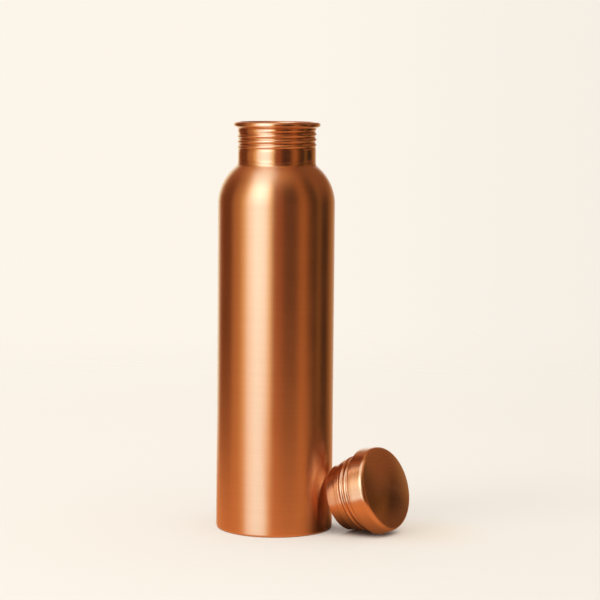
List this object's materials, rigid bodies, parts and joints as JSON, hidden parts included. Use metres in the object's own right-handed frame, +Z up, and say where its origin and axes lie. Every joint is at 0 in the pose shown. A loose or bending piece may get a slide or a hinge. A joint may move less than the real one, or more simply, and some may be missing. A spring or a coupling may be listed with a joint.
{
  "type": "water bottle",
  "caption": "Straight-sided copper water bottle with a threaded neck and rolled lip, and its domed screw cap lying beside it.",
  "frame": {"origin": "centre of the base disc's underside, on the bottle's axis", "axes": "+Z up the bottle's axis to the mouth; the cap lies on the +X side with its dome turned towards -Y, the front"},
  "size_m": [0.1214, 0.0816, 0.2546],
  "materials": {
    "copper": "satin",
    "copper_inside": "satin",
    "silicone": "matte"
  },
  "bodies": {
    "bottle": {"body_shell": "copper", "base_disc": "copper_inside", "neck_collar": "copper"},
    "seal": {"seal_ring": "silicone"},
    "cap": {"cap_dome": "copper", "cap_sleeve": "copper", "cap_floor": "copper_inside"}
  },
  "joints": [
    {"name": "cap_lift", "type": "slide", "parent": "bottle", "child": "seal", "axis": [0, 0, 1], "range_m": [0, 0.29]},
    {"name": "cap_turn", "type": "hinge", "parent": "seal", "child": "cap", "pos_m": [0.0616, -0.0185, 0.0263], "axis": [0.7846, -0.5494, 0.2873], "continuous": true}
  ]
}
